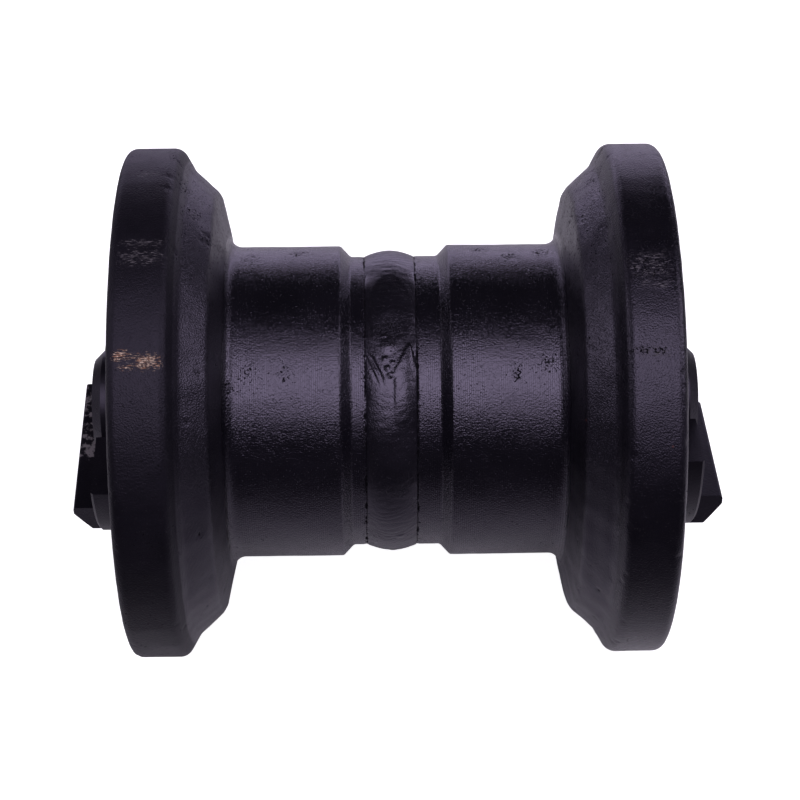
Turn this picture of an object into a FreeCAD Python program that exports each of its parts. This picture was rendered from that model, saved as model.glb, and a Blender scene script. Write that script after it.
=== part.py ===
import FreeCAD, Part
import math
import os

from FreeCAD import Vector

# Track roller for a rubber-track undercarriage. Millimetres, +Z up, the spin axis along Y.
# The origin is the roller's centre: on the spin axis, halfway between the two rims.
# The right-hand collar stands upright, with its flat facing +Z. Both collars can turn on the shaft.
# Profiles are (y, r) points: y along the axis from the centre, r from the axis.

# --- roller shell, outside ---
RIM_R = 82.5
SHELL_HALF_WIDTH = 84.8
RIM_OUTER_ROUND = 3.0
RIM_INNER_CORNER_Y = 67.9
RIM_INNER_ROUND = 3.6
SHOULDER_TOP = (64.1, 75.6)
SHOULDER_TOP_ROUND = 6.0
SHOULDER_NOSE = (56.0, 68.2)
SHOULDER_NOSE_ROUND = 4.5
TREAD_R = 50.4
TREAD_OUTER_Y = 52.2
TREAD_OUTER_ROUND = 4.0
GROOVE_EDGE_Y = 17.2
GROOVE_EDGE_ROUND = 1.2
GROOVE_FLOOR_R = 46.9
GROOVE_FLOOR_Y = 13.9
GROOVE_FLOOR_ROUND = 1.5

# --- roller shell, inside ---
CAVITY_R = 30.5
CAVITY_HALF_LENGTH = 12.0
BUSHING_SEAT_R = 24.0
SEAL_POCKET_R = 32.4
SEAL_POCKET_START_Y = 56.0
END_RECESS_R = 43.0
END_RECESS_START_Y = 66.5
RECESS_CHAMFER = 1.5

# --- centre weld: a V root between the halves, and a cap ---
WELD_ROOT_R = 39.0
WELD_HALF_WIDTH_AT_FLOOR = 6.5
WELD_CAP_HALF_WIDTH = 8.1
WELD_CROWN_R = 48.8

# --- shaft ---
SHAFT_R = 17.5
JOURNAL_R = 20.0
JOURNAL_END_Y = 52.4
THRUST_COLLAR_R = 27.0
THRUST_COLLAR_HALF_WIDTH = 7.6
SHAFT_HALF_LENGTH = 97.2
SHAFT_END_CHAMFER = 3.0
SHAFT_EDGE_CHAMFER = 0.6

# --- tapped end holes (M16, drawn at the thread's minor radius) and the oil passage ---
TAPPED_R = 7.0
TAPPED_DEPTH = 28.0
TAPPED_MOUTH_CHAMFER = 1.2
PLUG_SEAT_R = 6.5
PLUG_SEAT_DEPTH = 4.5
PLUG_THREAD_R = 5.0
PLUG_THREAD_DEPTH = 9.5
OIL_PASSAGE_R = 3.5
OIL_PASSAGE_END_Y = 32.0
CROSS_HOLE_R = 2.5
CROSS_HOLE_Y = 30.0

# --- shaft O-ring ---
O_RING_Y = 81.0
O_RING_SECTION_R = 1.2
O_RING_GROOVE_R = 15.1
O_RING_GROOVE_WIDTH = 3.4

# --- end collar ---
COLLAR_R = 41.25
COLLAR_BORE_CLEARANCE = 0.05
LEFT_COLLAR_TURN = 14.4
COLLAR_INNER_Y = 68.5
COLLAR_FACE_Y = 96.0
COLLAR_SLEEVE_R = 22.0
COLLAR_SLEEVE_START_Y = 52.6
COLLAR_POCKET_END_Y = 77.5
COLLAR_EDGE_CHAMFER = 0.8
FLAT_Z = 3.0
FLAT_START_Y = 86.4
FLAT_EDGE_ROUND = 1.2
LUG_FACE_Y = 105.1
LUG_HALF_WIDTH = 27.4
LUG_TOP_Z = -20.3
LUG_RIM_CHAMFER = 5.4
LUG_TOP_ROUND = 1.0

# --- lock pin: fixed across the collar, it rides in a groove round the shaft and stops end movement ---
PIN_R = 3.0
PIN_Y = 89.2
PIN_HALF_LENGTH = 34.0
PIN_GROOVE_CLEARANCE = 0.1

# --- flanged bushing ---
BUSHING_BORE_R = 20.05
BUSHING_END_Y = 48.0
FLANGE_R = 29.0
FLANGE_THICKNESS = 4.0
OIL_GROOVE_R = 1.4

# --- floating seals: two lapped metal rings, each carried by a rubber toric ---
SEAL_PLANE_Y = 67.0
SEAL_FACE_GAP = 0.1
SEAL_BORE_R = 23.5
SEAL_BODY_R = 27.0
SEAL_LIP_R = 31.2
SEAL_LENGTH = 9.5
SEAL_LIP_WIDTH = 3.4
SEAL_RAMP_WIDTH = 1.6
SEAL_EDGE = 0.5
TORIC_CENTRE_R = 29.7
TORIC_SECTION_R = 2.65
TORIC_OFFSET = 6.6

# --- oil plug ---
PLUG_HEAD_R = 6.2
PLUG_HEAD_HEIGHT = 3.2
PLUG_CLEARANCE = 0.2
PLUG_TIP_GAP = 1.0
PLUG_SOCKET_FLATS = 5.0
PLUG_SOCKET_DEPTH = 4.5
WASHER_R = 6.3
WASHER_THICKNESS = 1.0

AXIS = Vector(0, 1, 0)
UP = Vector(0, 0, 1)
ORIGIN = Vector(0, 0, 0)
FULL_TURN = 360
HALF_TURN = 180
OVERCUT = 1.0
SAME_PLACE = 1e-6
HEXAGON_SIDES = 6


def point(y, r):
    return Vector(r, y, 0)


def corner_arc(before, corner, after, radius):
    """The tangent arc that rounds one corner of an outline, as its start, middle and end."""
    to_before = (before - corner).normalize()
    to_after = (after - corner).normalize()
    half_angle = to_before.getAngle(to_after) / 2
    reach = radius / math.tan(half_angle)
    bisector = (to_before + to_after).normalize()
    centre = corner + bisector * (radius / math.sin(half_angle))
    middle = centre - bisector * radius
    return corner + to_before * reach, middle, corner + to_after * reach


def outline_face(corners):
    """A flat face inside a closed outline of (y, r, round) corners; round 0 keeps a corner sharp."""
    places = [point(y, r) for y, r, _ in corners]
    stops = []
    for i, (_, _, radius) in enumerate(corners):
        if radius:
            after = places[(i + 1) % len(places)]
            stops.append(corner_arc(places[i - 1], places[i], after, radius))
        else:
            stops.append((places[i],))
    edges = []
    for i, stop in enumerate(stops):
        if len(stop) == 3:
            edges.append(Part.Arc(*stop).toShape())
        start = stop[-1]
        end = stops[(i + 1) % len(stops)][0]
        if start.distanceToPoint(end) > SAME_PLACE:
            edges.append(Part.LineSegment(start, end).toShape())
    return Part.Face(Part.Wire(edges))


def turned(corners):
    """A solid turned about the spin axis from a closed (y, r, round) outline."""
    return outline_face(corners).revolve(ORIGIN, AXIS, FULL_TURN)


def ring_bar(r_in, r_out, y_from, y_to):
    """A plain ring or disc about the spin axis."""
    return turned([(y_from, r_in, 0), (y_to, r_in, 0), (y_to, r_out, 0), (y_from, r_out, 0)])


def rod(radius, start, end):
    return Part.makeCylinder(radius, start.distanceToPoint(end), start, end - start)


def block(x_range, y_range, z_range):
    low = Vector(x_range[0], y_range[0], z_range[0])
    spans = [high - least for least, high in (x_range, y_range, z_range)]
    return Part.makeBox(*spans, low)


def torus(centre_r, section_r, y):
    return Part.makeTorus(centre_r, section_r, Vector(0, y, 0), AXIS)


def one_solid(shape):
    clean = shape.removeSplitter()
    assert len(clean.Solids) == 1, "a piece came out as more than one solid"
    return clean.Solids[0]


def turned_to_left(shape):
    """The left-hand twin of a right-hand piece: half a turn about Z."""
    twin = shape.copy()
    twin.rotate(ORIGIN, UP, HALF_TURN)
    return twin


def roller_shell():
    """Right half of the roller: rim, shoulder and tread outside, stepped bore inside."""
    c = RECESS_CHAMFER
    return one_solid(turned([
        (0, CAVITY_R, 0),
        (0, WELD_ROOT_R, 0),
        (WELD_HALF_WIDTH_AT_FLOOR, GROOVE_FLOOR_R, 0),
        (GROOVE_FLOOR_Y, GROOVE_FLOOR_R, GROOVE_FLOOR_ROUND),
        (GROOVE_EDGE_Y, TREAD_R, GROOVE_EDGE_ROUND),
        (TREAD_OUTER_Y, TREAD_R, TREAD_OUTER_ROUND),
        (*SHOULDER_NOSE, SHOULDER_NOSE_ROUND),
        (*SHOULDER_TOP, SHOULDER_TOP_ROUND),
        (RIM_INNER_CORNER_Y, RIM_R, RIM_INNER_ROUND),
        (SHELL_HALF_WIDTH, RIM_R, RIM_OUTER_ROUND),
        (SHELL_HALF_WIDTH, END_RECESS_R + c, 0),
        (SHELL_HALF_WIDTH - c, END_RECESS_R, 0),
        (END_RECESS_START_Y, END_RECESS_R, 0),
        (END_RECESS_START_Y, SEAL_POCKET_R + c, 0),
        (END_RECESS_START_Y - c, SEAL_POCKET_R, 0),
        (SEAL_POCKET_START_Y, SEAL_POCKET_R, 0),
        (SEAL_POCKET_START_Y, BUSHING_SEAT_R, 0),
        (CAVITY_HALF_LENGTH, BUSHING_SEAT_R, 0),
        (CAVITY_HALF_LENGTH, CAVITY_R, 0),
    ]))


def centre_weld():
    """The bead that joins the halves: a V root and a crowned cap that laps onto the groove floor."""
    toe = point(WELD_CAP_HALF_WIDTH, GROOVE_FLOOR_R)
    left_toe = point(-WELD_CAP_HALF_WIDTH, GROOVE_FLOOR_R)
    floor = point(WELD_HALF_WIDTH_AT_FLOOR, GROOVE_FLOOR_R)
    left_floor = point(-WELD_HALF_WIDTH_AT_FLOOR, GROOVE_FLOOR_R)
    root = point(0, WELD_ROOT_R)
    edges = [Part.Arc(left_toe, point(0, WELD_CROWN_R), toe).toShape()]
    for start, end in ((toe, floor), (floor, root), (root, left_floor), (left_floor, left_toe)):
        edges.append(Part.LineSegment(start, end).toShape())
    return one_solid(Part.Face(Part.Wire(edges)).revolve(ORIGIN, AXIS, FULL_TURN))


def tapped_hole(y_sign):
    """The tapped hole in one shaft end, with a countersunk mouth."""
    mouth = SHAFT_HALF_LENGTH
    bottom = mouth - TAPPED_DEPTH
    return turned([
        (y_sign * bottom, 0, 0),
        (y_sign * bottom, TAPPED_R, 0),
        (y_sign * (mouth - TAPPED_MOUTH_CHAMFER), TAPPED_R, 0),
        (y_sign * mouth, TAPPED_R + TAPPED_MOUTH_CHAMFER, 0),
        (y_sign * mouth, 0, 0),
    ])


def plug_seat_y():
    """Bottom of the left tapped hole, where the oil plug's seat begins."""
    return -(SHAFT_HALF_LENGTH - TAPPED_DEPTH)


def oil_passage():
    """The drilled way for oil: plug seat, thread, axial passage and two cross holes."""
    seat = plug_seat_y()
    thread = seat + PLUG_SEAT_DEPTH
    bore = thread + PLUG_THREAD_DEPTH
    way = turned([
        (seat, 0, 0),
        (seat, PLUG_SEAT_R, 0),
        (thread, PLUG_SEAT_R, 0),
        (thread, PLUG_THREAD_R, 0),
        (bore, PLUG_THREAD_R, 0),
        (bore, OIL_PASSAGE_R, 0),
        (OIL_PASSAGE_END_Y, OIL_PASSAGE_R, 0),
        (OIL_PASSAGE_END_Y, 0, 0),
    ])
    for y in (-CROSS_HOLE_Y, CROSS_HOLE_Y):
        ends = (Vector(-JOURNAL_R - OVERCUT, y, 0), Vector(JOURNAL_R + OVERCUT, y, 0))
        way = way.fuse(rod(CROSS_HOLE_R, *ends))
    return way


def pin_rod(half_length):
    """The right lock pin's cylinder: it crosses below the axis and touches the shaft's side."""
    return rod(PIN_R, Vector(-half_length, PIN_Y, -SHAFT_R), Vector(half_length, PIN_Y, -SHAFT_R))


def shaft():
    """Stepped shaft: central thrust collar, O-ring and pin grooves, tapped ends and an oil passage."""
    e = SHAFT_EDGE_CHAMFER
    half_groove = O_RING_GROOVE_WIDTH / 2
    right_half = [
        (THRUST_COLLAR_HALF_WIDTH - e, THRUST_COLLAR_R),
        (THRUST_COLLAR_HALF_WIDTH, THRUST_COLLAR_R - e),
        (THRUST_COLLAR_HALF_WIDTH, JOURNAL_R),
        (JOURNAL_END_Y - e, JOURNAL_R),
        (JOURNAL_END_Y, JOURNAL_R - e),
        (JOURNAL_END_Y, SHAFT_R),
        (O_RING_Y - half_groove, SHAFT_R),
        (O_RING_Y - half_groove, O_RING_GROOVE_R),
        (O_RING_Y + half_groove, O_RING_GROOVE_R),
        (O_RING_Y + half_groove, SHAFT_R),
        (SHAFT_HALF_LENGTH - SHAFT_END_CHAMFER, SHAFT_R),
        (SHAFT_HALF_LENGTH, SHAFT_R - SHAFT_END_CHAMFER),
        (SHAFT_HALF_LENGTH, 0),
    ]
    left_half = [(-y, r) for y, r in reversed(right_half)]
    body = turned([(y, r, 0) for y, r in right_half + left_half])
    body = body.cut(tapped_hole(1)).cut(tapped_hole(-1)).cut(oil_passage())
    for y in (-PIN_Y, PIN_Y):
        body = body.cut(torus(SHAFT_R, PIN_R + PIN_GROOVE_CLEARANCE, y))
    return one_solid(body)


def collar_lug():
    """The stub that stands out of the collar's face below the shaft and locates under the track frame."""
    full = turned([
        (COLLAR_FACE_Y - OVERCUT, 0, 0),
        (COLLAR_FACE_Y - OVERCUT, COLLAR_R, 0),
        (LUG_FACE_Y - LUG_RIM_CHAMFER, COLLAR_R, 0),
        (LUG_FACE_Y, COLLAR_R - LUG_RIM_CHAMFER, 0),
        (LUG_FACE_Y, 0, 0),
    ])
    keep = block(
        (-LUG_HALF_WIDTH, LUG_HALF_WIDTH),
        (COLLAR_FACE_Y - OVERCUT, LUG_FACE_Y + OVERCUT),
        (-COLLAR_R - OVERCUT, LUG_TOP_Z),
    )
    stub = full.common(keep)
    top_edges = [e for e in stub.Edges if is_outer_top_edge(e)]
    return stub.makeFillet(LUG_TOP_ROUND, top_edges)


def is_outer_top_edge(edge):
    """True for the lug's edge between its top and its outer face."""
    middle = edge.CenterOfMass
    near_top = abs(middle.z - LUG_TOP_Z) < SAME_PLACE
    near_face = abs(middle.y - LUG_FACE_Y) < SAME_PLACE
    return near_top and near_face


def end_collar():
    """Right end collar: seal pocket and sleeve inside, a D-cut disc outside, and the lug."""
    c = COLLAR_EDGE_CHAMFER
    bore_r = SHAFT_R + COLLAR_BORE_CLEARANCE
    disc = turned([
        (COLLAR_SLEEVE_START_Y, bore_r, 0),
        (COLLAR_SLEEVE_START_Y, COLLAR_SLEEVE_R, 0),
        (COLLAR_POCKET_END_Y, COLLAR_SLEEVE_R, 0),
        (COLLAR_POCKET_END_Y, SEAL_POCKET_R, 0),
        (COLLAR_INNER_Y, SEAL_POCKET_R, 0),
        (COLLAR_INNER_Y, COLLAR_R - c, 0),
        (COLLAR_INNER_Y + c, COLLAR_R, 0),
        (COLLAR_FACE_Y - c, COLLAR_R, 0),
        (COLLAR_FACE_Y, COLLAR_R - c, 0),
        (COLLAR_FACE_Y, bore_r, 0),
    ])
    above_flat = block(
        (-COLLAR_R - OVERCUT, COLLAR_R + OVERCUT),
        (FLAT_START_Y, COLLAR_FACE_Y + OVERCUT),
        (FLAT_Z, COLLAR_R + OVERCUT),
    )
    body = disc.cut(above_flat).fuse(collar_lug())
    bore = ring_bar(0, bore_r, COLLAR_SLEEVE_START_Y, LUG_FACE_Y + OVERCUT)
    return one_solid(body.cut(bore).cut(pin_rod(COLLAR_R + OVERCUT)))


def bushing():
    """Right flanged bushing, pressed into the shell, with two axial oil grooves in its bore."""
    flange_y = CAVITY_HALF_LENGTH - FLANGE_THICKNESS
    body = turned([
        (flange_y, BUSHING_BORE_R, 0),
        (BUSHING_END_Y, BUSHING_BORE_R, 0),
        (BUSHING_END_Y, BUSHING_SEAT_R, 0),
        (CAVITY_HALF_LENGTH, BUSHING_SEAT_R, 0),
        (CAVITY_HALF_LENGTH, FLANGE_R, 0),
        (flange_y, FLANGE_R, 0),
    ])
    for side in (-1, 1):
        z = side * BUSHING_BORE_R
        groove = rod(OIL_GROOVE_R, Vector(0, flange_y - OVERCUT, z), Vector(0, BUSHING_END_Y + OVERCUT, z))
        body = body.cut(groove)
    return one_solid(body)


def seal_ring(face_side):
    """One lapped metal seal ring at the right end. face_side is +1 where its lapped face looks outwards."""
    face = SEAL_PLANE_Y - face_side * SEAL_FACE_GAP / 2
    lip = face - face_side * SEAL_LIP_WIDTH
    ramp = lip - face_side * SEAL_RAMP_WIDTH
    tail = face - face_side * SEAL_LENGTH
    return one_solid(turned([
        (face, SEAL_BORE_R, 0),
        (face, SEAL_LIP_R, SEAL_EDGE),
        (lip, SEAL_LIP_R, SEAL_EDGE),
        (ramp, SEAL_BODY_R, SEAL_EDGE),
        (tail, SEAL_BODY_R, SEAL_EDGE),
        (tail, SEAL_BORE_R, 0),
    ]))


def toric(side):
    """Rubber toric behind one seal ring: side -1 is the roller's, +1 the collar's."""
    return torus(TORIC_CENTRE_R, TORIC_SECTION_R, SEAL_PLANE_Y + side * TORIC_OFFSET)


def shaft_o_ring():
    return torus(O_RING_GROOVE_R + O_RING_SECTION_R, O_RING_SECTION_R, O_RING_Y)


def lock_pin():
    return one_solid(pin_rod(PIN_HALF_LENGTH))


def hexagon_prism(flats, y_from, y_to):
    corner_r = flats / math.sqrt(3)
    corners = []
    for i in range(HEXAGON_SIDES):
        angle = 2 * math.pi * i / HEXAGON_SIDES
        corners.append(Vector(corner_r * math.cos(angle), y_from, corner_r * math.sin(angle)))
    face = Part.Face(Part.makePolygon(corners + corners[:1]))
    return face.extrude(Vector(0, y_to - y_from, 0))


def oil_plug():
    """Socket-head plug in the left end of the oil passage."""
    under_head = plug_seat_y() + PLUG_SEAT_DEPTH - WASHER_THICKNESS
    head = under_head - PLUG_HEAD_HEIGHT
    tip = plug_seat_y() + PLUG_SEAT_DEPTH + PLUG_THREAD_DEPTH - PLUG_TIP_GAP
    thread_r = PLUG_THREAD_R - PLUG_CLEARANCE / 2
    body = turned([
        (head, 0, 0),
        (head, PLUG_HEAD_R, 0),
        (under_head, PLUG_HEAD_R, 0),
        (under_head, thread_r, 0),
        (tip, thread_r, 0),
        (tip, 0, 0),
    ])
    return one_solid(body.cut(hexagon_prism(PLUG_SOCKET_FLATS, head, head + PLUG_SOCKET_DEPTH)))


def plug_washer():
    seat = plug_seat_y() + PLUG_SEAT_DEPTH
    return one_solid(ring_bar(PLUG_THREAD_R, WASHER_R, seat - WASHER_THICKNESS, seat))


def pieces():
    """Every piece of the roller by its name. The left collar and its pin are turned on the shaft."""
    right_hand = {
        "roller_shell": roller_shell(),
        "flanged_bushing": bushing(),
        "rotating_seal_ring": seal_ring(1),
        "stationary_seal_ring": seal_ring(-1),
        "roller_side_toric": toric(-1),
        "collar_side_toric": toric(1),
        "shaft_o_ring": shaft_o_ring(),
    }
    on_collar = {
        "end_collar": end_collar(),
        "lock_pin": lock_pin(),
    }
    made = {
        "shaft": shaft(),
        "centre_weld": centre_weld(),
        "oil_plug": oil_plug(),
        "oil_plug_washer": plug_washer(),
    }
    for name, shape in (right_hand | on_collar).items():
        made[name + "_right"] = shape
        made[name + "_left"] = turned_to_left(shape)
    for name in on_collar:
        made[name + "_left"].rotate(ORIGIN, AXIS, LEFT_COLLAR_TURN)
    return made


def main():
    os.makedirs("parts", exist_ok=True)
    for name, shape in sorted(pieces().items()):
        assert shape.isValid(), name
        shape.exportStep("parts/" + name + ".step")
        print(name, round(shape.Volume / 1000, 2), "cm3")


main()
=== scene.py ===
"""Looks of the track roller: black enamel over turned, forged and welded steel, and its bearing parts."""
import math

import bpy
import numpy as np
from mathutils import Matrix, Vector


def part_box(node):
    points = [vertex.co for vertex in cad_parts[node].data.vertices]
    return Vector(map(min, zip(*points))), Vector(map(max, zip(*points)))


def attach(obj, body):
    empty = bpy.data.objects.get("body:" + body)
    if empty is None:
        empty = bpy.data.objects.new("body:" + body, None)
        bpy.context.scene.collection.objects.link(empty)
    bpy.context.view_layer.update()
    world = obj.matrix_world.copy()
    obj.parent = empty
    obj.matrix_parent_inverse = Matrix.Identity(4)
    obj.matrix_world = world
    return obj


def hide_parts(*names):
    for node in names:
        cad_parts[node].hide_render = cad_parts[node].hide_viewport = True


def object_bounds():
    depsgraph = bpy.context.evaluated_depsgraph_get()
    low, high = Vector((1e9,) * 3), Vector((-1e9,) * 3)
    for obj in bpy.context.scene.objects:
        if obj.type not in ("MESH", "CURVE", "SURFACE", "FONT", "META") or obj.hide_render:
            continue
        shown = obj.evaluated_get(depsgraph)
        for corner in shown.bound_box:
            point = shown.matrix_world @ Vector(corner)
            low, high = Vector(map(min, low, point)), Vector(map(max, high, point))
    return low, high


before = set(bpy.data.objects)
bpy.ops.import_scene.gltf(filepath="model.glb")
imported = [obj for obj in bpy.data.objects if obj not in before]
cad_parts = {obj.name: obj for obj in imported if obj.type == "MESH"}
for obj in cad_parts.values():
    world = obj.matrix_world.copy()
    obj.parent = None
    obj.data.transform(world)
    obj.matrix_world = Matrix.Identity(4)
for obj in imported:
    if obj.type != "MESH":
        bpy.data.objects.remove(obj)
cad_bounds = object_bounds()

MM = 0.001
SEED = 41

# --- meshes: points round the axis, and steps along the outlines ---
SHELL_SEGMENTS = 720
WELD_SEGMENTS = 1440
FINE_STEP = 0.95 * MM
COARSE_STEP = 4.0 * MM

# --- radii that part the shell's zones: hidden inside, tread, forged shoulder, turned rim ---
FINE_ABOVE_R = 46.0 * MM
SHOULDER_FROM_R = 54.0 * MM
TREAD_BELOW_R = 57.0 * MM
TREAD_FADE = 4.0 * MM
RIM_BAND_R = 78.0 * MM
BOX_MARGIN = 0.5 * MM

# --- camera: angles in degrees, distance in metres, lens and sensor in millimetres ---
VIEW_AZIMUTH = 89.28
VIEW_ELEVATION = 33.5
VIEW_ROLL = 0.27
VIEW_DISTANCE = 0.72
VIEW_LENS = 99.1
VIEW_SENSOR = 36
VIEW_AIM = Vector((0.0, 1.6 * MM, 0.0))


# ---------------------------------------------------------------- geometry helpers

def seam_outline(node):
    """The closed (y, r) outline of a turned CAD node, in order, read along the seam of its mesh."""
    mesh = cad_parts[node].data
    points = np.array([v.co for v in mesh.vertices])
    best = {}
    for side in (1, -1):
        on_seam = (np.abs(points[:, 2]) < 1e-6) & (points[:, 0] * side > 0)
        links = {}
        for edge in mesh.edges:
            a, b = edge.vertices
            if not (on_seam[a] and on_seam[b]):
                continue
            ends = [(round(points[i, 1], 6), round(abs(points[i, 0]), 6)) for i in (a, b)]
            if ends[0] != ends[1]:
                links.setdefault(ends[0], set()).add(ends[1])
                links.setdefault(ends[1], set()).add(ends[0])
        if len(links) > len(best):
            best = links
    start = max(best)
    outline, previous, here = [start], None, start
    while True:
        ahead = sorted(p for p in best[here] if p != previous)
        previous, here = here, ahead[0]
        if here == start:
            return np.array(outline)
        outline.append(here)


def refine(outline):
    """The outline with long straight stretches divided, finely where the surface shows."""
    refined = []
    for here, after in zip(outline, np.roll(outline, -1, axis=0)):
        shows = min(here[1], after[1]) > FINE_ABOVE_R
        step = FINE_STEP if shows else COARSE_STEP
        count = max(1, math.ceil(np.linalg.norm(after - here) / step))
        for i in range(count):
            refined.append(here + (after - here) * i / count)
    return np.array(refined)


def outline_normals(outline):
    """Outward unit normals of a closed (y, r) outline."""
    along = np.roll(outline, -1, axis=0) - np.roll(outline, 1, axis=0)
    normals = np.stack([along[:, 1], -along[:, 0]], axis=1)
    normals /= np.linalg.norm(normals, axis=1)[:, None]
    following = np.roll(outline, -1, axis=0)
    area = np.sum(outline[:, 0] * following[:, 1] - following[:, 0] * outline[:, 1])
    return normals if area > 0 else -normals


class Turned:
    """A surface of revolution about Y: a grid of points that can be pushed in and out along its normals."""

    def __init__(self, outline, segments):
        self.outline = outline
        angles = np.linspace(0, 2 * math.pi, segments, endpoint=False)
        self.angle, self.y = np.meshgrid(angles, outline[:, 0], indexing="ij")
        self.r = np.broadcast_to(outline[:, 1], self.y.shape)
        normals = outline_normals(outline)
        self.normal_y = np.broadcast_to(normals[:, 0], self.y.shape)
        self.normal_r = np.broadcast_to(normals[:, 1], self.y.shape)
        self.push = np.zeros(self.y.shape)
        self.layers = {}

    def points(self):
        """Undisturbed positions as an (n, m, 3) array."""
        return self.place(self.y, self.r)

    def place(self, y, r):
        return np.stack([r * np.cos(self.angle), y, r * np.sin(self.angle)], axis=-1)

    def turn_from(self, degrees):
        """Signed arc length from an angle, in metres, measured on the surface."""
        turn = self.angle - math.radians(degrees)
        return (np.mod(turn + math.pi, 2 * math.pi) - math.pi) * self.r

    def build(self, name, material):
        """The pushed grid as a closed smooth mesh, with its layers as point attributes."""
        y = self.y + self.normal_y * self.push
        r = self.r + self.normal_r * self.push
        n, m = self.y.shape
        index = np.arange(n * m).reshape(n, m)
        right = np.roll(index, -1, axis=1)
        quads = np.stack([index, np.roll(index, -1, axis=0), np.roll(right, -1, axis=0), right], axis=-1)
        mesh = bpy.data.meshes.new(name)
        mesh.from_pydata(self.place(y, r).reshape(-1, 3).tolist(), [], quads.reshape(-1, 4).tolist())
        mesh.polygons.foreach_set("use_smooth", [True] * len(mesh.polygons))
        for layer, values in self.layers.items():
            attribute = mesh.attributes.new(layer, "FLOAT", "POINT")
            attribute.data.foreach_set("value", np.clip(values, 0, 1).astype(np.float32).ravel())
        mesh.materials.append(material)
        piece = bpy.data.objects.new(name, mesh)
        bpy.context.scene.collection.objects.link(piece)
        face_out(mesh)
        return piece


def face_out(mesh):
    """Turns the faces outwards if the closed mesh's signed volume is negative."""
    mesh.calc_loop_triangles()
    corners = np.zeros(len(mesh.loop_triangles) * 3, np.int32)
    mesh.loop_triangles.foreach_get("vertices", corners)
    points = np.zeros(len(mesh.vertices) * 3)
    mesh.vertices.foreach_get("co", points)
    a, b, c = points.reshape(-1, 3)[corners.reshape(-1, 3)].transpose(1, 0, 2)
    if np.einsum("ij,ij->i", a, np.cross(b, c)).sum() < 0:
        mesh.flip_normals()


def waves(points, wavelength, rng, count=14):
    """Smooth random relief of about unit size: a sum of plane waves in random directions."""
    relief = np.zeros(points.shape[:-1])
    for _ in range(count):
        direction = rng.normal(size=3)
        direction /= np.linalg.norm(direction)
        number = 2 * math.pi / (wavelength * rng.uniform(0.7, 1.5))
        relief += np.sin(points @ (direction * number) + rng.uniform(0, 2 * math.pi))
    return relief * math.sqrt(2 / count)


def bump(distance, radius):
    """A round bump: 1 in the middle, 0 from the radius outwards."""
    t = np.clip(1 - (distance / radius) ** 2, 0, 1)
    return t * t


def patch(across, along, half_across, half_along):
    """A soft-edged rectangle-like patch of weight 1 in its middle."""
    return np.exp(-((across / half_across) ** 4) - (along / half_along) ** 4)


# ---------------------------------------------------------------- roller shells

# Marks on the shells: the angle in degrees from +X towards +Z, and y and sizes in mm.
# blistered paint: angle, y, radius
FLAKE_CLUSTERS = {
    "left": ((84.8, -61, 4.5), (93.8, -64, 5.0), (78.8, -57, 3.0), (102.8, -67, 4.0), (239.8, -63, 5.0),
             (42.9, -34, 2.6), (43.4, -46, 3.4), (98.0, -45, 3.6), (102.0, -30, 3.4), (38.5, -50, 3.0)),
    "right": ((101.3, 62.1, 4.6), (93.8, 54.8, 5.2), (85.8, 57.5, 3.4), (112.8, 66, 3.5), (225.8, 60, 5.0),
              (45.6, 46, 3.6), (42.4, 37, 2.8), (97.0, 36, 3.8), (101.0, 46, 3.4), (105.0, 27, 3.0)),
}
# dull, pitted bands on the rims: angle, y, half length round the rim, half width, strength
STAINS = {
    "left": ((20.0, -74, 6.0, 9, 0.35), (5.0, -74, 8.0, 9, 0.38)),
    "right": ((61.0, 74, 6.0, 8, 0.52), (43.0, 73, 1.5, 8, 0.66), (112.0, 73, 3.0, 7, 0.5)),
}
# grey scratches on the rims: angle, y, half length round the rim, half width
SCUFFS = {
    "left": ((68.5, -75, 2.4, 10), (64.8, -75, 4.2, 10), (42.1, -75.5, 3.6, 8.5), (91.8, -76, 3, 6),
             (197.8, -75, 5, 8), (292.8, -75, 3, 9)),
    "right": ((61.8, 75, 6.5, 9), (57.2, 77, 2.0, 8), (99.8, 75.5, 3, 8), (42.8, 75, 2.2, 9),
              (152.8, 77, 6, 7), (273.8, 75, 4, 8)),
}
# places rubbed to bare metal: angle, y, half length round the rim, half width
RUBS = {
    "left": ((42.0, -72.5, 3.6, 6.0), (43.2, -80.0, 2.6, 4.0), (40.6, -79.0, 1.2, 3.0)),
    "right": ((180.8, 79.0, 1.6, 4.0),),
}
# drops of paint that ran down and dried: angle, y, radius
DRIPS = {
    "left": ((275.8, -47, 2.6), (271.8, -42, 2.0), (266.8, -37, 2.8),
             (260.8, -32, 2.2), (254.8, -27, 2.6), (247.8, -22, 2.0)),
    "right": ((256.8, 44, 2.2), (250.8, 38, 1.8), (262.8, 31, 2.0)),
}
# how glossy the rim and the shoulder are, from 0 to the tread's 1
POLISH = {"left": (0.15, 0.45), "right": (0.72, 0.60)}
# how much of its sheen the rim has lost
RIM_DULLNESS = {"left": 1.0, "right": 0.65}
# unevenness: wavelength and height in mm, everywhere and on the forged shoulder
UNEVEN = ((22, 0.035), (6, 0.010))
FORGED_UNEVEN = (9, 0.06)
# small marks: how many, range of radii in mm, depth or height in radii
CHIPS_PER_CLUSTER = 26
CHIP_RADII = (0.7, 1.6)
CHIP_RELIEF = (-0.09, 0.05)
SHOULDER_PITS = 46
PIT_RADII = (0.8, 1.7)
PIT_DEPTH = 0.16
RIM_NICKS = 60
NICK_RADII = (0.7, 2.2)
NICK_DEPTH = 0.12
DRIP_HEIGHT = 0.24
# chips are deeper on the forged shoulders, beyond this y
FORGED_FROM_Y = 52 * MM
FORGED_CHIP_DEPTH = 2.3
# how far the bead stands off the middle
WELD_OFFSET = -1.5 * MM


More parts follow.
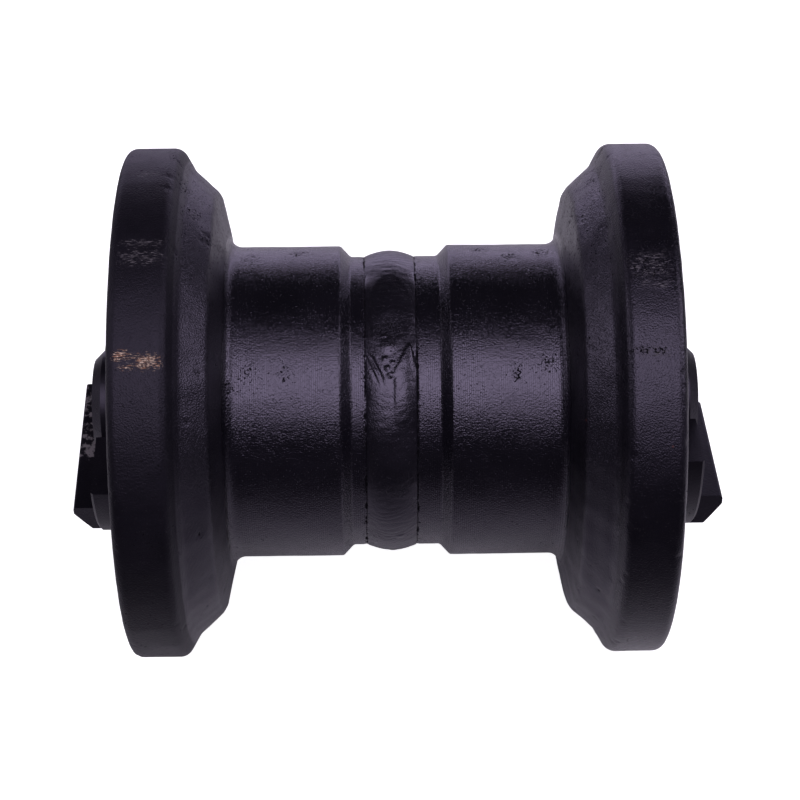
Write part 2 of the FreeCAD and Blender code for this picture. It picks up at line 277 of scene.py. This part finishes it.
def shell(side, material):
    """One half of the roller: turned rim and tread, forged shoulder, with their flaws and worn places."""
    sign = {"left": -1, "right": 1}[side]
    rng = np.random.default_rng(SEED + sign)
    node = "roller_shell_" + side
    surface = Turned(refine(seam_outline(node)), SHELL_SEGMENTS)
    points = surface.points()
    on_rim = surface.r > RIM_BAND_R
    faces_middle = surface.normal_y * sign < -0.1
    on_shoulder = (surface.r > SHOULDER_FROM_R) & (surface.r < RIM_BAND_R) & faces_middle

    for wavelength, height in UNEVEN:
        surface.push += waves(points, wavelength * MM, rng) * height * MM
    wavelength, height = FORGED_UNEVEN
    surface.push += np.where(on_shoulder, waves(points, wavelength * MM, rng) * height * MM, 0)

    flake = np.zeros(surface.y.shape)
    for degrees, y, radius in FLAKE_CLUSTERS[side]:
        flake = np.maximum(flake, cluster(surface, points, degrees, y * MM, radius * MM, rng))
    for *place, strength in STAINS[side]:
        flake = np.maximum(flake, strength * worn(surface, [place]) * on_rim)
    flake = np.maximum(flake, shoulder_pits(surface, points, on_shoulder, rng))
    drips(surface, points, DRIPS[side])
    nicks(surface, points, on_rim, rng)
    flake = np.maximum(flake, weld_toe(surface, points, sign, rng))
    keep_in_box(surface, node)

    on_tread_share = np.clip((TREAD_BELOW_R - surface.r) / TREAD_FADE, 0, 1)
    rim_polish, shoulder_polish = POLISH[side]
    high_up = np.clip(np.sin(surface.angle) * 2 - 1.1, 0, 1)
    surface.layers = {
        "flake": np.maximum(flake, (0.20 + 0.20 * high_up) * on_shoulder),
        "scuff": worn(surface, SCUFFS[side]) * on_rim,
        "rub": worn(surface, RUBS[side]) * on_rim,
        "polish": np.maximum(on_tread_share, np.where(on_rim, rim_polish, shoulder_polish)),
        "turned": on_tread_share,
        "dull": on_rim * RIM_DULLNESS[side],
    }
    piece = surface.build("shell_" + side, material)
    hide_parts(node)
    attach(piece, "roller")
    return piece


def worn(surface, places):
    """How much each point of the surface lies within the listed soft-edged patches."""
    weight = np.zeros(surface.y.shape)
    for degrees, y, half_turn, half_width in places:
        here = patch(surface.turn_from(degrees), surface.y - y * MM, half_turn * MM, half_width * MM)
        weight = np.maximum(weight, here)
    return weight


def shoulder_pits(surface, points, on_shoulder, rng):
    """Small pits scattered over the forged shoulder. Returns their weight."""
    weight = np.zeros(surface.y.shape)
    spots = points[on_shoulder]
    for centre in spots[rng.integers(0, len(spots), SHOULDER_PITS)]:
        size = rng.uniform(*PIT_RADII) * MM
        hit = bump(np.linalg.norm(points - centre, axis=-1), size)
        surface.push -= hit * size * PIT_DEPTH
        weight = np.maximum(weight, hit * 0.7)
    return weight


def drips(surface, points, places):
    """Low round drops of paint along the underside."""
    for degrees, y, size in places:
        centre = on_tread(surface, degrees, y * MM)
        surface.push += bump(np.linalg.norm(points - centre, axis=-1), size * MM) * size * DRIP_HEIGHT * MM


def nicks(surface, points, on_rim, rng):
    """Shallow knocks along the rim's rounded edges."""
    rim_edges = points[on_rim & (np.abs(surface.normal_y) > 0.35) & (surface.normal_r > 0.35)]
    for centre in rim_edges[rng.integers(0, len(rim_edges), RIM_NICKS)]:
        size = rng.uniform(*NICK_RADII) * MM
        surface.push -= bump(np.linalg.norm(points - centre, axis=-1), size) * size * NICK_DEPTH


def weld_toe(surface, points, sign, rng):
    """The undercut where the weld bead meets this half. Returns how much the paint beside it is pitted."""
    toe = WELD_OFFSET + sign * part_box("centre_weld")[1].y
    wander = waves(points * [1, 0, 1], 7 * MM, rng) * 0.35 * MM
    undercut = np.exp(-((surface.y - toe - wander - sign * 0.2 * MM) / (0.45 * MM)) ** 2)
    surface.push -= undercut * (0.16 * MM + 0.06 * MM * waves(points, 5 * MM, rng))
    beside = np.exp(-((surface.y - toe) / (1.8 * MM)) ** 2)
    return 0.52 * beside * np.clip(0.6 + 0.5 * waves(points, 11 * MM, rng), 0.1, 1)


def keep_in_box(surface, node):
    """Lets the rim and the outer face be pushed inwards only, and leaves the hidden inside alone."""
    low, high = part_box(node)
    outside = np.clip((surface.r - FINE_ABOVE_R) / MM, 0, 1)
    at_rim = high.z - surface.r < BOX_MARGIN
    surface.push = np.where(at_rim, -np.abs(surface.push), surface.push) * outside
    at_end = np.abs(surface.y) > max(abs(low.y), abs(high.y)) - BOX_MARGIN
    surface.push = np.where(at_end, -np.abs(surface.push), surface.push)


def on_tread(surface, degrees, y):
    """The point of the shell's outside at an angle and a place along the axis."""
    outer = surface.outline[np.argsort(np.abs(surface.outline[:, 0] - y))[:6]]
    r = outer[:, 1].max()
    angle = math.radians(degrees)
    return np.array([r * math.cos(angle), y, r * math.sin(angle)])


def cluster(surface, points, degrees, y, radius, rng):
    """Blistered, flaked paint: small pits and raised chips round one place. Returns its weight."""
    centre = on_tread(surface, degrees, y)
    weight = 0.60 * bump(np.linalg.norm(points - centre, axis=-1), radius * 2.1)
    depth = FORGED_CHIP_DEPTH if abs(y) > FORGED_FROM_Y else 1.0
    for _ in range(CHIPS_PER_CLUSTER):
        spot = centre + rng.normal(size=3) * radius * 0.45
        size = rng.uniform(*CHIP_RADII) * MM
        hit = bump(np.linalg.norm(points - spot, axis=-1), size)
        surface.push += hit * size * depth * rng.choice(CHIP_RELIEF)
    return weight


# ---------------------------------------------------------------- centre weld

# ripples of the bead: how many round it, height in mm
RIPPLES = 132
RIPPLE_HEIGHT = 0.050
CAP_STEPS = 44
CAP_HALF_WIDTH = 5.8 * MM
# laps where the bead runs over its own start: angle, height in mm
LAPS = ((87.5, 0.09), (90.8, 0.04))
# cold laps: angle and y in mm of the upper end, slant
CREASES = ((52.6, -9.2, 0.55), (51.0, -9.6, 0.42), (50.4, -7.4, 0.36))
CREASE_LENGTH = 11 * MM
# the spill of weld metal: angle of its upper tip, and how far it widens below it
TONGUE_FROM = 55.0
TONGUE_REACH = 9 * MM
# the pitted crater: angle of its middle, y of its middle times its narrowing along y, radius
CRATER_AT = 60.5
CRATER_SHIFT = -2.6 * MM
CRATER_NARROWING = 1.2
CRATER_R = 11 * MM
# lumps and dents of the bead: angle, y in mm, radius in mm, height in mm
WELD_LUMPS = (
    (48.6, -3.4, 1.2, 0.34), (47.0, -1.0, 1.1, 0.30), (45.0, -2.6, 1.3, 0.36), (42.6, -1.6, 1.5, 0.34),
    (61.8, -2.2, 6.4, -0.42), (53.6, -2.6, 3.0, 0.26), (57.5, -3.4, 1.1, 0.22), (223.8, 1.5, 3.2, 0.40),
    (228.8, -2.0, 2.4, -0.35), (142.8, 2.0, 2.2, 0.25), (310.0, -1.0, 2.6, 0.22), (331.0, 1.0, 1.8, 0.24),
)


def weld_outline(outline):
    """The bead's outline with its cap divided finely and its toes let into the groove's floor.

    The crown is as high as the points beside the CAD crown, which leaves the ripples some room.
    """
    half_width = np.abs(outline[:, 0]).max()
    toe_r = outline[np.abs(outline[:, 0]) > half_width - 1e-5][:, 1].mean()
    crown_r = np.sort(outline[:, 1])[-2]
    root_r = outline[:, 1].min()
    rise = crown_r - toe_r
    across = np.linspace(-1, 1, CAP_STEPS)
    cap = np.stack([across * half_width, toe_r + rise * (1 - across ** 2)], axis=1)
    cap[[0, -1], 1] = toe_r - 0.35 * MM
    root = np.array([[0.55 * half_width, toe_r - 3 * MM], [0, root_r], [-0.55 * half_width, toe_r - 3 * MM]])
    return np.concatenate([cap, root]), half_width, toe_r


def weld(material):
    """The bead between the halves, with its ripples, start and stop, crater and uneven toes."""
    rng = np.random.default_rng(SEED * 3)
    outline, half_width, toe_r = weld_outline(seam_outline("centre_weld"))
    surface = Turned(outline, WELD_SEGMENTS)
    points = surface.points()
    across = surface.y / half_width
    surface.y = surface.y + WELD_OFFSET * (surface.r > toe_r - 1 * MM)
    on_cap = surface.r > toe_r - 0.1 * MM
    wander = waves(points * [1, 0, 1], 26 * MM, rng)
    strength = np.clip(0.55 + 0.45 * wander, 0.15, 1.2)
    phase = surface.angle / (2 * math.pi) * RIPPLES - 1.5 * across ** 2 + 0.45 * waves(points, 9 * MM, rng)
    ripple = np.abs(np.sin(math.pi * phase)) ** 0.7 - 0.7
    surface.push += ripple * strength * RIPPLE_HEIGHT * MM * (1 - across ** 4)
    surface.push += waves(points, 14 * MM, rng) * 0.07 * MM + waves(points, 3 * MM, rng) * 0.016 * MM
    toe_wander = waves(points * [1, 0, 1] + [0, 0.05, 0], 9 * MM, rng) * np.abs(across) ** 6
    surface.push += toe_wander * 0.12 * MM
    for degrees, y, radius, height in WELD_LUMPS:
        distance = np.hypot(surface.turn_from(degrees), surface.y - y * MM)
        surface.push += bump(distance, radius * MM) * height * MM
    for degrees, height in LAPS:
        surface.push += lap(surface, degrees, height * MM)
    surface.push += tongue(surface) - creases(surface)
    surface.push = np.where(on_cap, surface.push, 0)
    from_crater = np.hypot(surface.turn_from(CRATER_AT), CRATER_NARROWING * surface.y - CRATER_SHIFT)
    surface.layers = {"flake": bump(from_crater, CRATER_R)}
    piece = surface.build("weld_bead", material)
    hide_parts("centre_weld")
    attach(piece, "roller")
    return piece


def lap(surface, degrees, height):
    """The rounded end of the bead where it runs over its own start."""
    across = np.abs(surface.y - WELD_OFFSET) / CAP_HALF_WIDTH
    turn = surface.turn_from(degrees) + 8 * MM * across ** 2.4
    ridge = np.exp(-(turn / (0.8 * MM + 1.6 * MM * across)) ** 2)
    return height * ridge * np.clip((1.15 - across) / 0.2, 0, 1)


def creases(surface):
    """Slanting cold laps on the bead's left side, below its stop."""
    depth = np.zeros(surface.y.shape)
    for degrees, start_y, slant in CREASES:
        along = -surface.turn_from(degrees)
        middle = start_y * MM + slant * along
        inside = np.clip(along / MM, 0, 1) * np.clip((CREASE_LENGTH - along) / (3 * MM), 0, 1)
        depth += 0.26 * MM * np.exp(-((surface.y - middle) / (0.36 * MM)) ** 2) * inside
    return depth


def tongue(surface):
    """A smooth spill of weld metal that widens down one side of the bead."""
    turn = -surface.turn_from(TONGUE_FROM)
    share = np.clip(turn / TONGUE_REACH, 0, 1)
    middle = 4.2 * MM - share * 1.2 * MM
    half = (0.3 + 3.3 * share) * MM
    inside = np.clip(1 - ((surface.y - middle) / half) ** 2, 0, 1)
    ends = np.clip(turn / MM, 0, 1) * np.clip((3 * TONGUE_REACH - turn) / TONGUE_REACH, 0, 1)
    return 0.55 * MM * inside ** 0.4 * ends


# ---------------------------------------------------------------- materials

class Paint:
    """Builds one node material round a Principled shader."""

    def __init__(self, name):
        self.material = bpy.data.materials.new(name)
        self.material.use_nodes = True
        self.tree = self.material.node_tree
        self.tree.nodes.clear()
        self.shader = self.tree.nodes.new("ShaderNodeBsdfPrincipled")
        output = self.tree.nodes.new("ShaderNodeOutputMaterial")
        self.tree.links.new(self.shader.outputs["BSDF"], output.inputs["Surface"])
        self.height = None

    def node(self, kind, inputs=(), **settings):
        made = self.tree.nodes.new(kind)
        for key, value in settings.items():
            setattr(made, key, value)
        for socket, value in dict(inputs).items():
            self.feed(made.inputs[socket], value)
        return made

    def feed(self, socket, value):
        if isinstance(value, bpy.types.NodeSocket):
            self.tree.links.new(value, socket)
        else:
            socket.default_value = value

    def set(self, **values):
        for key, value in values.items():
            self.feed(self.shader.inputs[key.replace("_", " ")], value)

    def maths(self, operation, a, b=0.0, c=0.0):
        return self.node("ShaderNodeMath", {0: a, 1: b, 2: c}, operation=operation).outputs[0]

    def position(self):
        return self.node("ShaderNodeTexCoord").outputs["Object"]

    def split(self):
        parts = self.node("ShaderNodeSeparateXYZ", {0: self.position()})
        return parts.outputs[0], parts.outputs[1], parts.outputs[2]

    def layer(self, name):
        return self.node("ShaderNodeAttribute", attribute_name=name).outputs["Fac"]

    def noise(self, scale, detail=3.0, rough=0.5, vector=None):
        inputs = {"Vector": vector or self.position(), "Scale": scale, "Detail": detail, "Roughness": rough}
        return self.node("ShaderNodeTexNoise", inputs).outputs["Fac"]

    def cells(self, scale):
        inputs = {"Vector": self.position(), "Scale": scale}
        return self.node("ShaderNodeTexVoronoi", inputs).outputs["Distance"]

    def span(self, value, low, high, to_low=0.0, to_high=1.0):
        """A smooth step of value between low and high."""
        inputs = {0: value, 1: low, 2: high, 3: to_low, 4: to_high}
        return self.node("ShaderNodeMapRange", inputs, interpolation_type="SMOOTHSTEP").outputs[0]

    def blend(self, share, a, b):
        made = self.node("ShaderNodeMix", {0: share}, data_type="RGBA")
        self.feed(made.inputs[6], a)
        self.feed(made.inputs[7], b)
        return made.outputs[2]

    def lerp(self, share, a, b):
        return self.node("ShaderNodeMix", {0: share, 2: a, 3: b}, data_type="FLOAT").outputs[0]

    def streaks(self, scale, stretch):
        """Noise drawn out along the spin axis, as rubbing marks on the rims lie."""
        inputs = {"Vector": self.position(), "Rotation": STREAK_LEAN, "Scale": (1.0, 1.0 / stretch, 1.0)}
        return self.noise(scale, 5.0, 0.7, self.node("ShaderNodeMapping", inputs).outputs[0])

    def turned_lines(self, per_metre):
        """Fine grooves round the spin axis, as a lathe tool leaves them."""
        x, y, z = self.split()
        r = self.maths("SQRT", self.maths("ADD", self.maths("MULTIPLY", x, x), self.maths("MULTIPLY", z, z)))
        grooves = self.node("ShaderNodeCombineXYZ", {
            0: self.maths("MULTIPLY", r, per_metre),
            1: self.maths("MULTIPLY", y, per_metre),
            2: self.maths("MULTIPLY", x, LINE_WANDER),
        })
        return self.noise(1.0, 4.0, 0.6, grooves.outputs[0])

    def relief(self, height, metres):
        """Adds a bump of that depth on top of what is there."""
        inputs = {"Height": height, "Distance": metres, "Strength": 1.0}
        if self.height is not None:
            inputs["Normal"] = self.height
        self.height = self.node("ShaderNodeBump", inputs).outputs["Normal"]
        self.feed(self.shader.inputs["Normal"], self.height)


def colour(r, g, b):
    return (r, g, b, 1.0)


ENAMEL = colour(0.0030, 0.0027, 0.0042)
ENAMEL_DUSTY = colour(0.0058, 0.0050, 0.0080)
FLAKED = colour(0.0030, 0.0028, 0.0036)
DUST = colour(0.20, 0.19, 0.20)
GREY_RUB = colour(0.115, 0.105, 0.112)
BARE_STEEL = colour(0.50, 0.38, 0.29)
RUBBED_BROWN = colour(0.16, 0.085, 0.055)
RUST_SPOT = colour(0.085, 0.026, 0.016)
SHEEN_TINT = colour(0.84, 0.76, 1.0)

# directions of the marks: lean of the rubbing streaks in radians, change of the tool lines round the axis
STREAK_LEAN = (0.06, 0.0, 0.05)
LINE_WANDER = 6.0
TOOL_PITCH = 0.65 * MM

# the left lug's rubbed patch: fades along x, starts above this height, lies beyond this y
LEFT_COLLAR_TURN = 14.4
LUG_RUB_FROM = -3 * MM
LUG_RUB_TO = 9 * MM
LUG_RUB_FOOT = -22.5 * MM
LUG_RUB_FULL = -20.5 * MM
LUG_FACE_Y = -96.0 * MM
LUG_RUB_Y = -96.5 * MM

# the shaft is ground steel up to one y and enamelled from the next
GROUND_TO_Y = 84.0 * MM
ENAMELLED_FROM_Y = 86.2 * MM


def enamel(paint, rough_low, rough_high, lines, grain):
    """Black semi-gloss enamel: sandy orange peel, dust, pinholes, and tool lines that show through it."""
    cloud = paint.noise(45.0, 4.0, 0.6)
    sand = paint.noise(2000.0, 1.0, 0.6)
    patchy = paint.noise(210.0, 1.0, 0.5)
    dust = paint.span(paint.noise(2300.0, 1.0, 0.6), 0.68, 0.75)
    dust = paint.maths("MULTIPLY", dust, paint.span(patchy, 0.45, 0.60))
    holes = paint.span(paint.noise(1000.0, 1.0, 0.6), 0.33, 0.28)
    holes = paint.maths("MULTIPLY", holes, paint.span(patchy, 0.58, 0.42))
    tone = paint.blend(paint.span(cloud, 0.35, 0.75, 0.0, 0.5), ENAMEL, ENAMEL_DUSTY)
    tone = paint.blend(paint.maths("MULTIPLY", dust, 0.12), tone, DUST)
    tone = paint.blend(holes, tone, FLAKED)
    rough = paint.lerp(paint.span(cloud, 0.3, 0.7), rough_low, rough_high)
    rough = paint.maths("ADD", rough, paint.maths("MULTIPLY", holes, 0.30))
    if lines:
        paint.relief(paint.turned_lines(2600.0), lines)
    paint.relief(sand, grain)
    paint.relief(paint.maths("SUBTRACT", dust, holes), 1.6e-5)
    paint.set(Specular_Tint=SHEEN_TINT)
    return tone, rough


def tool_marks(paint):
    """The lathe's feed marks: even waves along the axis that fade in and out."""
    _, y, _ = paint.split()
    wave = paint.maths("SINE", paint.maths("MULTIPLY", y, 2 * math.pi / TOOL_PITCH))
    band = paint.node("ShaderNodeCombineXYZ", {1: y}).outputs[0]
    return paint.maths("MULTIPLY", wave, paint.span(paint.noise(75.0, 1.0, 0.5, band), 0.42, 0.54))


def toe_crease(paint):
    """The uneven dark line where the weld meets the shells."""
    _, y, _ = paint.split()
    low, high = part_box("centre_weld")
    left = paint.maths("ABSOLUTE", paint.maths("SUBTRACT", y, low.y + WELD_OFFSET))
    right = paint.maths("ABSOLUTE", paint.maths("SUBTRACT", y, high.y + WELD_OFFSET))
    wander = paint.maths("MULTIPLY_ADD", paint.noise(260.0, 3.0, 0.7), 2.6 * MM, -1.0 * MM)
    from_toe = paint.maths("ADD", paint.maths("MINIMUM", left, right), wander)
    return paint.span(from_toe, 0.20 * MM, 0.55 * MM, 1.0, 0.0)


def shell_paint():
    """The shells' enamel with pits, scuffs, bare rubbed metal and rust spots where the layers put them."""
    paint = Paint("shell_enamel")
    tone, rough = enamel(paint, 0.48, 0.54, 1.6e-5, 1.7e-4)
    rough = paint.maths("SUBTRACT", rough, paint.maths("MULTIPLY", paint.layer("polish"), 0.30))
    grit = paint.noise(1300.0, 2.0, 0.6)
    chipped = paint.maths("MULTIPLY", paint.layer("flake"), 0.40)
    pits = paint.span(paint.maths("ADD", chipped, grit), 0.77, 0.82)
    pits = paint.maths("MAXIMUM", pits, toe_crease(paint))
    marks = paint.streaks(2900.0, 6.0)
    scuff = paint.maths("ADD", paint.maths("MULTIPLY", paint.layer("scuff"), 0.30), marks)
    scuff = paint.span(scuff, 0.81, 0.93)
    rub = paint.maths("ADD", paint.maths("MULTIPLY", paint.layer("rub"), 0.38), marks)
    rub = paint.span(rub, 0.85, 0.93)
    rust = paint.span(paint.cells(95.0), 0.0, 0.05, 1.0, 0.0)
    rust = paint.maths("MULTIPLY", rust, paint.span(paint.noise(60.0, 0.0), 0.66, 0.70))
    tone = paint.blend(paint.maths("MULTIPLY", rust, 0.8), tone, RUST_SPOT)
    tone = paint.blend(paint.maths("MULTIPLY", scuff, 0.7), tone, GREY_RUB)
    feed_marks = paint.maths("MULTIPLY", tool_marks(paint), paint.layer("turned"))
    sheen = paint.maths("MULTIPLY_ADD", feed_marks, -0.15, 0.5)
    shine = paint.lerp(paint.layer("dull"), sheen, 0.21)
    tone = paint.blend(rub, tone, paint.blend(paint.span(grit, 0.40, 0.62), RUBBED_BROWN, BARE_STEEL))
    tone = paint.blend(pits, tone, FLAKED)
    rough = paint.lerp(scuff, rough, 0.6)
    rough = paint.lerp(rub, rough, 0.42)
    rough = paint.lerp(pits, rough, 0.9)
    paint.relief(pits, -8.0e-5)
    paint.relief(paint.maths("MULTIPLY", paint.maths("ADD", rub, scuff), marks), -4.0e-5)
    paint.set(Base_Color=tone, Roughness=rough, Metallic=paint.maths("MULTIPLY", rub, 0.7),
              Specular_IOR_Level=paint.lerp(pits, shine, 0.06))
    return paint.material


def weld_paint():
    """Thicker, glossier enamel over the bead, pitted at its crater and toes."""
    paint = Paint("weld_enamel")
    tone, rough = enamel(paint, 0.26, 0.34, 0.0, 0.9e-4)
    grit = paint.noise(1100.0, 2.0, 0.6)
    chipped = paint.maths("MULTIPLY", paint.layer("flake"), 0.22)
    pits = paint.span(paint.maths("ADD", chipped, grit), 0.72, 0.80)
    pits = paint.maths("MAXIMUM", pits, toe_crease(paint))
    tone = paint.blend(pits, tone, FLAKED)
    rough = paint.lerp(pits, rough, 0.8)
    paint.relief(pits, -9.0e-5)
    paint.set(Base_Color=tone, Roughness=rough, Specular_IOR_Level=paint.lerp(pits, 0.5, 0.08))
    return paint.material


def collar_paint():
    """The end collars' enamel, with the rubbed patch on the left lug."""
    paint = Paint("collar_enamel")
    tone, rough = enamel(paint, 0.34, 0.42, 0.4e-5, 0.8e-4)
    x, y, z = paint.split()
    fade = paint.span(x, LUG_RUB_FROM, LUG_RUB_TO, 0.11, -0.14)
    rubbed = paint.maths("ADD", paint.noise(420.0, 4.0, 0.7), fade)
    lean = math.radians(LEFT_COLLAR_TURN)
    up = paint.maths("MULTIPLY", z, math.cos(lean))
    height = paint.maths("ADD", paint.maths("MULTIPLY", x, math.sin(lean)), up)
    above_foot = paint.span(height, LUG_RUB_FOOT, LUG_RUB_FULL)
    bare = paint.maths("MULTIPLY", paint.span(rubbed, 0.60, 0.70), above_foot)
    tone = paint.blend(paint.maths("MULTIPLY", bare, paint.span(y, LUG_FACE_Y, LUG_RUB_Y)), tone, GREY_RUB)
    paint.set(Base_Color=tone, Roughness=rough, Specular_IOR_Level=0.26)
    return paint.material


def shaft_finish():
    """Black enamel on the ends that show, ground steel between the collars."""
    paint = Paint("shaft_finish")
    tone, rough = enamel(paint, 0.34, 0.42, 0.4e-5, 0.8e-4)
    _, y, _ = paint.split()
    ground = paint.span(paint.maths("ABSOLUTE", y), GROUND_TO_Y, ENAMELLED_FROM_Y, 1.0, 0.0)
    steel = paint.blend(paint.turned_lines(5200.0), colour(0.42, 0.42, 0.43), colour(0.56, 0.55, 0.54))
    tone = paint.blend(ground, tone, steel)
    rough = paint.lerp(ground, rough, 0.24)
    paint.set(Base_Color=tone, Roughness=rough, Metallic=ground, Specular_IOR_Level=0.30)
    return paint.material


def machined(name, dark, light, rough_low, rough_high):
    """Turned or ground bare metal."""
    paint = Paint(name)
    grooves = paint.turned_lines(3200.0)
    stain = paint.noise(130.0, 4.0, 0.6)
    share = paint.maths("ADD", paint.maths("MULTIPLY", grooves, 0.5), paint.maths("MULTIPLY", stain, 0.5))
    paint.relief(grooves, 0.4e-5)
    paint.set(Base_Color=paint.blend(paint.span(share, 0.3, 0.7), dark, light), Metallic=1.0,
              Roughness=paint.span(stain, 0.3, 0.7, rough_low, rough_high))
    return paint.material


def rubber():
    """Seal rubber with a faint grey bloom."""
    paint = Paint("nitrile_rubber")
    bloom = paint.noise(180.0, 4.0, 0.6)
    paint.relief(paint.noise(2600.0, 2.0), 0.8e-5)
    tone = paint.blend(paint.span(bloom, 0.45, 0.8), colour(0.012, 0.012, 0.012), colour(0.04, 0.04, 0.038))
    paint.set(Base_Color=tone, Roughness=paint.span(bloom, 0.3, 0.7, 0.46, 0.66))
    return paint.material


# bare metals inside: material name, darker and lighter colour, lowest and highest roughness
BRONZE = ("bearing_bronze", colour(0.50, 0.30, 0.12), colour(0.66, 0.43, 0.20), 0.28, 0.42)
LAPPED_IRON = ("lapped_iron", colour(0.30, 0.30, 0.31), colour(0.42, 0.42, 0.42), 0.16, 0.34)
GROUND_PIN = ("ground_pin", colour(0.45, 0.45, 0.46), colour(0.60, 0.60, 0.60), 0.18, 0.30)
COPPER = ("copper_washer", colour(0.62, 0.28, 0.17), colour(0.78, 0.42, 0.28), 0.26, 0.42)
BLACK_OXIDE = ("black_oxide", colour(0.05, 0.05, 0.055), colour(0.11, 0.11, 0.115), 0.32, 0.48)


def dress_cad_nodes():
    """Materials for the CAD nodes that are shown: the first kind that is found in a node's name counts."""
    finishes = {
        "end_collar": collar_paint(),
        "flanged_bushing": machined(*BRONZE),
        "seal_ring": machined(*LAPPED_IRON),
        "toric": rubber(),
        "o_ring": rubber(),
        "shaft": shaft_finish(),
        "lock_pin": machined(*GROUND_PIN),
        "oil_plug_washer": machined(*COPPER),
        "oil_plug": machined(*BLACK_OXIDE),
    }
    for name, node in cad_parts.items():
        for kind, material in finishes.items():
            if kind in name:
                node.data.materials.clear()
                node.data.materials.append(material)
                break


# ---------------------------------------------------------------- studio

PANEL_TINT = (0.92, 0.85, 1.0)
BACK_TINT = (0.80, 0.70, 1.0)
FLOOR_HALF = 6.0
FLOOR_GAP = 0.2 * MM
FLOOR_GLOW = 0.92
# painted pool of light: the floor's colour falls from bright to dim between two places along x, from under
# the roller outwards, as light falling mostly under the roller would
FLOOR_PAINTED_LIGHT = {"From Min": 0.045, "From Max": 0.165, "To Min": 0.7, "To Max": 0.05}
ROOM_GLOW = 0.02


def toward(azimuth, elevation):
    """Unit vector from the roller towards a place in the studio; azimuth 90 is +X, 0 is -Y."""
    a, e = math.radians(azimuth), math.radians(elevation)
    return Vector((math.sin(a) * math.cos(e), -math.cos(a) * math.cos(e), math.sin(e)))


def look_back(direction):
    """The turn that points an object's -Z axis at the roller from that direction."""
    return (-direction).to_track_quat("-Z", "Y").to_matrix().to_4x4()


def camera():
    """The studio view from in front and above."""
    back = toward(VIEW_AZIMUTH, VIEW_ELEVATION)
    data = bpy.data.cameras.new("camera")
    data.lens = VIEW_LENS
    data.sensor_width = VIEW_SENSOR
    data.clip_start = 0.01
    made = bpy.data.objects.new("camera", data)
    bpy.context.scene.collection.objects.link(made)
    roll = Matrix.Rotation(math.radians(-VIEW_ROLL), 4, "Z")
    made.matrix_world = Matrix.Translation(VIEW_AIM + back * VIEW_DISTANCE) @ look_back(back) @ roll
    bpy.context.scene.camera = made


def panel(name, azimuth, elevation, distance, width, height, watts, tint=PANEL_TINT):
    """A soft light panel that faces the roller."""
    data = bpy.data.lights.new(name, "AREA")
    data.shape = "RECTANGLE"
    data.size = width
    data.size_y = height
    data.energy = watts
    data.color = tint
    made = bpy.data.objects.new(name, data)
    bpy.context.scene.collection.objects.link(made)
    back = toward(azimuth, elevation)
    made.matrix_world = Matrix.Translation(back * distance) @ look_back(back)


def floor():
    """A wide pale floor, bright to the eye, with a painted pool of light under the roller that leaves it
    dimmer in reflections away from the roller.
    """
    level = cad_bounds[0].z - FLOOR_GAP
    mesh = bpy.data.meshes.new("studio_floor")
    corners = [(x * FLOOR_HALF, y * FLOOR_HALF, level) for x, y in ((-1, -1), (1, -1), (1, 1), (-1, 1))]
    mesh.from_pydata(corners, [], [(0, 1, 2, 3)])
    made = bpy.data.objects.new("studio_floor", mesh)
    bpy.context.scene.collection.objects.link(made)
    material = bpy.data.materials.new("studio_floor")
    material.use_nodes = True
    tree = material.node_tree
    tree.nodes.clear()
    output = tree.nodes.new("ShaderNodeOutputMaterial")
    diffuse = tree.nodes.new("ShaderNodeBsdfDiffuse")
    place = tree.nodes.new("ShaderNodeTexCoord")
    parts = tree.nodes.new("ShaderNodeSeparateXYZ")
    # painted pool of light: the diffuse colour is bright under the roller and dim further out along x
    fade = tree.nodes.new("ShaderNodeMapRange")
    fade.interpolation_type = "SMOOTHSTEP"
    for socket, value in FLOOR_PAINTED_LIGHT.items():
        fade.inputs[socket].default_value = value
    tree.links.new(place.outputs["Object"], parts.inputs[0])
    tree.links.new(parts.outputs[0], fade.inputs[0])
    tree.links.new(fade.outputs[0], diffuse.inputs["Color"])
    glow = tree.nodes.new("ShaderNodeEmission")
    seen = tree.nodes.new("ShaderNodeLightPath")
    strength = tree.nodes.new("ShaderNodeMath")
    strength.operation = "MULTIPLY"
    strength.inputs[1].default_value = FLOOR_GLOW
    tree.links.new(seen.outputs["Is Camera Ray"], strength.inputs[0])
    tree.links.new(strength.outputs[0], glow.inputs["Strength"])
    both = tree.nodes.new("ShaderNodeAddShader")
    tree.links.new(diffuse.outputs[0], both.inputs[0])
    tree.links.new(glow.outputs[0], both.inputs[1])
    tree.links.new(both.outputs[0], output.inputs["Surface"])
    mesh.materials.append(material)


def surroundings():
    """White to the eye beyond the floor, and a dim room in reflections."""
    world = bpy.data.worlds.new("studio")
    world.use_nodes = True
    tree = world.node_tree
    ground = tree.nodes["Background"]
    seen = tree.nodes.new("ShaderNodeLightPath")
    level = tree.nodes.new("ShaderNodeMapRange")
    level.inputs["To Min"].default_value = ROOM_GLOW
    level.inputs["To Max"].default_value = 1.0
    tree.links.new(seen.outputs["Is Camera Ray"], level.inputs["Value"])
    tree.links.new(level.outputs[0], ground.inputs["Strength"])
    ground.inputs["Color"].default_value = colour(1, 1, 1)
    bpy.context.scene.world = world
    bpy.context.scene.view_settings.view_transform = "Standard"


def lights():
    """A large panel in front and above, a weak one low behind, and a small one at each end."""
    panel("key_box", 90, 48, 1.6, 1.7, 1.2, 29)
    panel("back_box", 270, 12, 1.5, 2.0, 0.5, 6.2, tint=BACK_TINT)
    panel("left_box", 0, 25, 1.5, 0.7, 0.7, 4.6)
    panel("right_box", 170, 32, 1.5, 0.7, 0.7, 9)


camera()
surroundings()
floor()
lights()
paint_of_shells = shell_paint()
for side in ("left", "right"):
    shell(side, paint_of_shells)
weld(weld_paint())
dress_cad_nodes()
